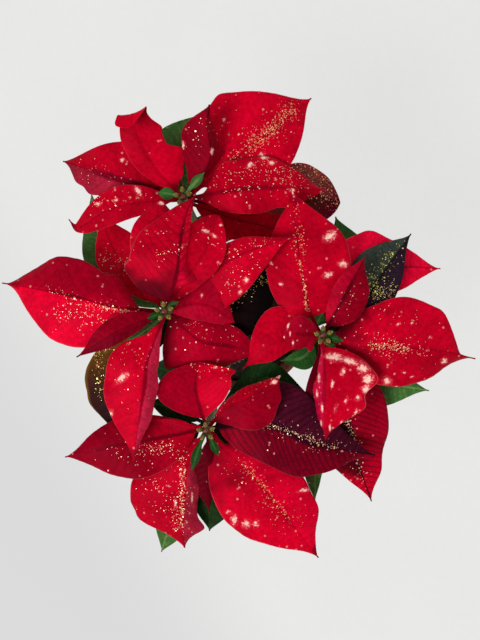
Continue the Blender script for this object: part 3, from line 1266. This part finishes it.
def build_pot(material):
    """The pot with a rounded rim, faint moulding rings and drain holes."""
    band = POT_HEIGHT - RIM_HEIGHT
    outer = pot_inside(band) + POT_WALL
    foot, mouth = POT_FOOT_RADIUS, RIM_RADIUS - POT_WALL
    lip = RIM_RADIUS - RIM_TAPER
    profile = [(0.0, 0.6)] + [(foot + out, rise) for out, rise in POT_FOOT]
    for share in np.arange(1, POT_STEPS) / POT_STEPS:
        ring = POT_RING_DEPTH * math.cos(2 * math.pi * share * POT_RINGS)
        profile.append((foot + (outer - foot) * share + ring, POT_FOOT[-1][1] * (1 - share) + band * share))
    profile += [(outer, band), (lip - 0.8, band), (lip - 0.2, band + 0.3), (lip, band + 1.0)]
    profile += [(RIM_RADIUS + out, POT_HEIGHT + rise) for out, rise in POT_RIM]
    profile += [(mouth + out, POT_HEIGHT + rise) for out, rise in POT_LIP]
    profile += [(pot_inside(band + POT_WALL), band + POT_WALL)]
    profile += [(pot_inside(POT_WALL), POT_WALL), (0.0, POT_WALL)]
    pot = add_solid("pot_body", [turned(profile, POT_SIDES)], material, "pot_clay_plastic", "pot")
    drills = []
    for k in range(DRAIN_HOLES):
        turn = 2 * math.pi * k / DRAIN_HOLES
        spot = (DRAIN_RING_RADIUS * math.cos(turn), DRAIN_RING_RADIUS * math.sin(turn), 0.0)
        corners, faces, _ = turned(DRILL, DRILL_SIDES, spot)
        drills.append(link("drill", make_mesh("drill", corners, faces, (), -1.0, 1.0)))
        cut = pot.modifiers.new("drain", "BOOLEAN")
        cut.operation = "DIFFERENCE"
        cut.object = drills[-1]
    graph = bpy.context.evaluated_depsgraph_get()
    pot.data = bpy.data.meshes.new_from_object(pot.evaluated_get(graph))
    pot.modifiers.clear()
    for drill in drills:
        bpy.data.objects.remove(drill, do_unlink=True)


def build_soil(material, chip_material):
    """Crumbly potting soil with lumps and pale grains on it."""
    floor = POT_WALL + GAP
    hole = TRUNK_RADIUS + GAP
    neck = POT_HEIGHT - RIM_HEIGHT
    side = pot_inside(neck) - GAP
    profile = [(0.0, floor), (pot_inside(floor) - GAP, floor), (side, neck), (side, SOIL_TOP - SOIL_EDGE)]
    for share in np.arange(1, SOIL_STEPS + 1) / SOIL_STEPS:
        profile.append((side - share * (side - hole), SOIL_TOP + SOIL_MOUND * share))
    profile += [(hole, TRUNK_FOOT - GAP), (0.0, TRUNK_FOOT - GAP)]
    corners, faces, marks = turned(profile, SOIL_SIDES)
    for spot in corners:
        if spot[2] > SOIL_TOP and hole + SOIL_EDGE < math.hypot(*spot[:2]):
            here = Vector(spot)
            spot[2] += sum(high * noise.noise(here * scale) for high, scale in CLODS)
    add_solid("soil_bed", [(corners, faces, marks)], material, "potting_soil", "soil")
    draw = np.random.default_rng(SOIL_SEED)
    crumbs, chips = [], []
    for k in range(SOIL_LUMPS):
        reach = math.sqrt(draw.uniform((hole + LUMP_MARGIN) ** 2, (side - LUMP_MARGIN) ** 2))
        turn = draw.uniform(0.0, 2 * math.pi)
        size = draw.uniform(*LUMP_SIZES)
        share = (side - reach) / (side - hole)
        spot = (reach * math.cos(turn), reach * math.sin(turn), SOIL_TOP + SOIL_MOUND * share + LUMP_LIFT)
        lump = [(size * wide, size * tall) for wide, tall in LUMP]
        lean = draw.normal(0.0, LUMP_TILT, 3) + (0.0, 0.0, 1.0)
        (crumbs if k % GRAIN_EVERY else chips).append(turned(lump, LUMP_SIDES, spot, lean))
    add_solid("soil_crumbs", crumbs, material, "potting_soil", "soil")
    add_solid("soil_grains", chips, chip_material, "potting_soil", "soil")


def build_trunk(material):
    """Bark on the main stem and its four arms."""
    points = [(0, 0, TRUNK_FOOT), (0, 0, SOIL_TOP), (0, 0, TRUNK_TOP)]
    stem = tube(points, lambda share: TRUNK_RADIUS - share**2, *TRUNK_MESH, *TRUNK_BARK)
    add_solid("trunk_stem", [stem], material, "woody_stem", "trunk")
    for head in HEADS:
        points = arm_points(head)
        arm = tube(points, lambda share: ARM_RADIUS + ARM_SWELL * (1 - share), *ARM_MESH, *ARM_BARK)
        add_solid("trunk_arm_" + head, [arm], material, "woody_stem", "trunk")


def floor_material():
    """Plain pale floor, lit a little from below so that it stays pale between the bracts."""
    g = Graph("pale_floor")
    place = g.place(1.0)
    across, back, _ = g.split(place)
    glow = g.mix(g.ramp(g.noise(place, 7.0, 4.0), 0.3, 0.7), (0.98, 0.98, 0.96), (1.0, 1.0, 0.99))
    glow = g.mix(g.ramp(g.noise(place, 160.0), 0.35, 0.65, 0.0, 0.1), glow, (0.9, 0.9, 0.9))
    glow = g.mix(g.ramp(across + back * 0.6, -0.12, -0.32), glow, (0.86, 0.86, 0.87))
    return g.dress(
        Base_Color=g.mix(1.0, glow, FLOOR_TONE, "MULTIPLY"),
        Roughness=0.9,
        Emission_Color=glow,
        Emission_Strength=FLOOR_GLOW,
        Specular_IOR_Level=0.1,
    )


def add_light(name, place, size, power):
    """A soft square light that points at the plant, in metres."""
    light = bpy.data.lights.new(name, "AREA")
    light.size = size
    light.energy = power
    lamp = link(name, light)
    lamp.location = place
    lamp.rotation_euler = (LIGHT_TARGET - Vector(place)).to_track_quat("-Z", "Y").to_euler()


def build_studio():
    """Floor, soft light and the camera straight above."""
    mesh = bpy.data.meshes.new("floor")
    corners = [(x * FLOOR_REACH, y * FLOOR_REACH, 0) for x, y in ((-1, -1), (1, -1), (1, 1), (-1, 1))]
    mesh.from_pydata(corners, [], [(0, 1, 2, 3)])
    mesh.materials.append(floor_material())
    link("floor", mesh)
    world = bpy.data.worlds.new("studio")
    bpy.context.scene.world = world
    world.use_nodes = True
    background = world.node_tree.nodes["Background"]
    background.inputs["Color"].default_value = (1.0, 1.0, 1.0, 1.0)
    background.inputs["Strength"].default_value = WORLD_LIGHT
    add_light("key", (-1.7, -1.4, 2.7), 1.5, KEY_POWER)
    add_light("fill", (1.2, 1.2, 2.0), 1.6, FILL_POWER)
    camera = bpy.data.cameras.new("camera")
    camera.sensor_width = SENSOR
    camera.lens = PHOTO_FOCAL * SENSOR / PHOTO_HEIGHT
    camera.clip_start = 0.05
    camera.clip_end = 20.0
    eye = link("camera", camera)
    eye.location = (0.0, 0.0, CAMERA_HEIGHT * MM)
    bpy.context.scene.camera = eye
    bpy.context.scene.view_settings.view_transform = "Standard"
    bpy.context.scene.view_settings.look = "None"


def main():
    """Build every visible piece."""
    materials = {key: blade_material(key, look) for key, look in LOOKS.items()}
    flecks = {
        tone: plain_material(tone + "_flecks", tones, 0.9, 0.34, 1.0, Metallic=0.35, Specular_IOR_Level=0.7)
        for tone, tones in FLECK_TONES.items()
    }
    for (node, tone), groups in build_blades(materials).items():
        slot = "bronze_leaf" if "bronze" in node else "red_bract"
        add_flecks("%s_%s" % (node, tone), groups, flecks[tone], slot)
    build_stems(stem_material())
    gland = plain_material("flower_gland", (lin(150, 158, 56), lin(110, 124, 40)), 1.5, 0.35)
    stamen = plain_material("flower_stamen", (lin(150, 52, 34), lin(184, 150, 62)), 1.8, 0.45)
    build_flowers(cup_material(), gland, stamen)
    bark = (lin(104, 84, 60), lin(66, 52, 38))
    build_trunk(plain_material("bark", bark, 0.4, 0.85, relief=(0.9, 0.4)))
    build_pot(plain_material("pot_plastic", (lin(150, 84, 60), lin(136, 72, 50)), 0.12, 0.6))
    soil = plain_material("soil", (lin(52, 38, 28), lin(26, 18, 14)), 0.5, 0.95, relief=(0.7, 0.6))
    grains = plain_material("soil_grains", (lin(170, 160, 140), lin(96, 76, 54)), 0.6, 0.85)
    build_soil(soil, grains)
    build_studio()


main()
